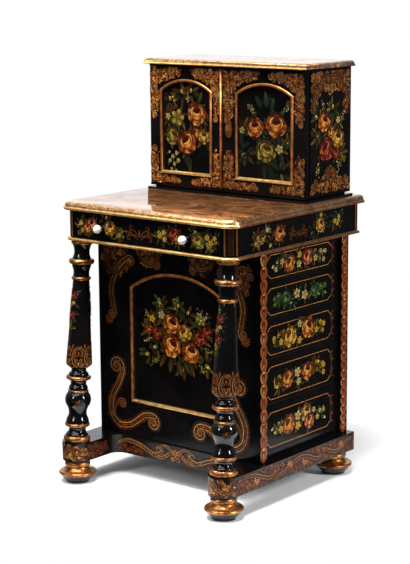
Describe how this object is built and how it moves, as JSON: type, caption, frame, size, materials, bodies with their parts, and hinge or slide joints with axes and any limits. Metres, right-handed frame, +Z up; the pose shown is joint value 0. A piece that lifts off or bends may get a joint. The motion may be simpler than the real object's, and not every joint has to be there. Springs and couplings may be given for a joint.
{
  "type": "davenport desk",
  "caption": "Small black lacquered writing desk with a pedestal of side drawers, a frieze drawer, two raking turned front columns and a two-door stationery cabinet on top.",
  "frame": {"origin": "middle of the base at floor level, under the centre of the overall box", "axes": "+X to the right of a person standing at the desk front, +Y to the back, +Z up"},
  "size_m": [0.608, 0.616, 1.125],
  "materials": {
    "black_lacquer": "polished black lacquer with painted flowers and gilding",
    "gilt_wood": "gilded, slightly worn",
    "polished_top": "very glossy dark veneer",
    "plain_wood": "plain waxed mahogany",
    "white_ceramic": "glazed, glossy",
    "brass": "polished"
  },
  "bodies": {
    "desk": {"cabinet_back": "plain_wood", "cabinet_base": "black_lacquer", "cabinet_boards": "black_lacquer", "cabinet_cornice": "gilt_wood", "cabinet_shelves": "plain_wood", "cabinet_sides": "black_lacquer", "case_back": "plain_wood", "case_floor_and_top": "plain_wood", "case_front_bead": "gilt_wood", "case_front_frame": "black_lacquer", "case_front_panel": "black_lacquer", "case_left_side": "plain_wood", "column_left": "black_lacquer", "column_right": "black_lacquer", "drawer_runners": "plain_wood", "dummy_drawer_fronts": "black_lacquer", "foot_back_left": "gilt_wood", "foot_back_right": "gilt_wood", "foot_front_left": "gilt_wood", "foot_front_right": "gilt_wood", "frieze_back": "plain_wood", "frieze_base": "gilt_wood", "frieze_corner_posts": "black_lacquer", "frieze_drawer_guides": "plain_wood", "frieze_sides": "black_lacquer", "left_pilasters": "black_lacquer", "left_side_frame": "black_lacquer", "pivot_plates": "brass", "plinth_arms": "black_lacquer", "plinth_board": "plain_wood", "plinth_rails": "black_lacquer", "right_pilasters": "black_lacquer", "right_side_frame": "black_lacquer", "writing_top": "polished_top"},
    "left_door": {"left_door_frame": "black_lacquer", "left_door_panel": "black_lacquer", "left_door_bead": "gilt_wood", "left_door_pivots": "brass", "meeting_bead": "gilt_wood"},
    "right_door": {"right_door_frame": "black_lacquer", "right_door_panel": "black_lacquer", "right_door_bead": "gilt_wood", "right_door_pivots": "brass", "keyhole_escutcheon": "brass", "door_lock_case": "brass"},
    "lock_bolt": {"door_lock_bolt": "brass"},
    "frieze_drawer": {"frieze_drawer_front": "black_lacquer", "frieze_drawer_box": "plain_wood", "frieze_drawer_knobs": "white_ceramic"},
    "side_drawer_1": {"side_drawer_1_front": "black_lacquer", "side_drawer_1_box": "plain_wood"},
    "side_drawer_2": {"side_drawer_2_front": "black_lacquer", "side_drawer_2_box": "plain_wood"},
    "side_drawer_3": {"side_drawer_3_front": "black_lacquer", "side_drawer_3_box": "plain_wood"},
    "side_drawer_4": {"side_drawer_4_front": "black_lacquer", "side_drawer_4_box": "plain_wood"},
    "side_drawer_5": {"side_drawer_5_front": "black_lacquer", "side_drawer_5_box": "plain_wood"}
  },
  "joints": [
    {"name": "left_door_hinge", "type": "hinge", "parent": "desk", "child": "left_door", "pos_m": [-0.255, 0.086, 0.775], "axis": [0, 0, -1], "range_deg": [0, 100]},
    {"name": "right_door_hinge", "type": "hinge", "parent": "desk", "child": "right_door", "pos_m": [0.255, 0.086, 0.775], "axis": [0, 0, 1], "range_deg": [0, 100]},
    {"name": "lock_bolt_slide", "type": "slide", "parent": "right_door", "child": "lock_bolt", "axis": [-1, 0, 0], "range_m": [0, 0.006]},
    {"name": "frieze_drawer_slide", "type": "slide", "parent": "desk", "child": "frieze_drawer", "axis": [0, -1, 0], "range_m": [0, 0.33]},
    {"name": "side_drawer_1_slide", "type": "slide", "parent": "desk", "child": "side_drawer_1", "axis": [1, 0, 0], "range_m": [0, 0.32]},
    {"name": "side_drawer_2_slide", "type": "slide", "parent": "desk", "child": "side_drawer_2", "axis": [1, 0, 0], "range_m": [0, 0.32]},
    {"name": "side_drawer_3_slide", "type": "slide", "parent": "desk", "child": "side_drawer_3", "axis": [1, 0, 0], "range_m": [0, 0.32]},
    {"name": "side_drawer_4_slide", "type": "slide", "parent": "desk", "child": "side_drawer_4", "axis": [1, 0, 0], "range_m": [0, 0.32]},
    {"name": "side_drawer_5_slide", "type": "slide", "parent": "desk", "child": "side_drawer_5", "axis": [1, 0, 0], "range_m": [0, 0.32]}
  ]
}
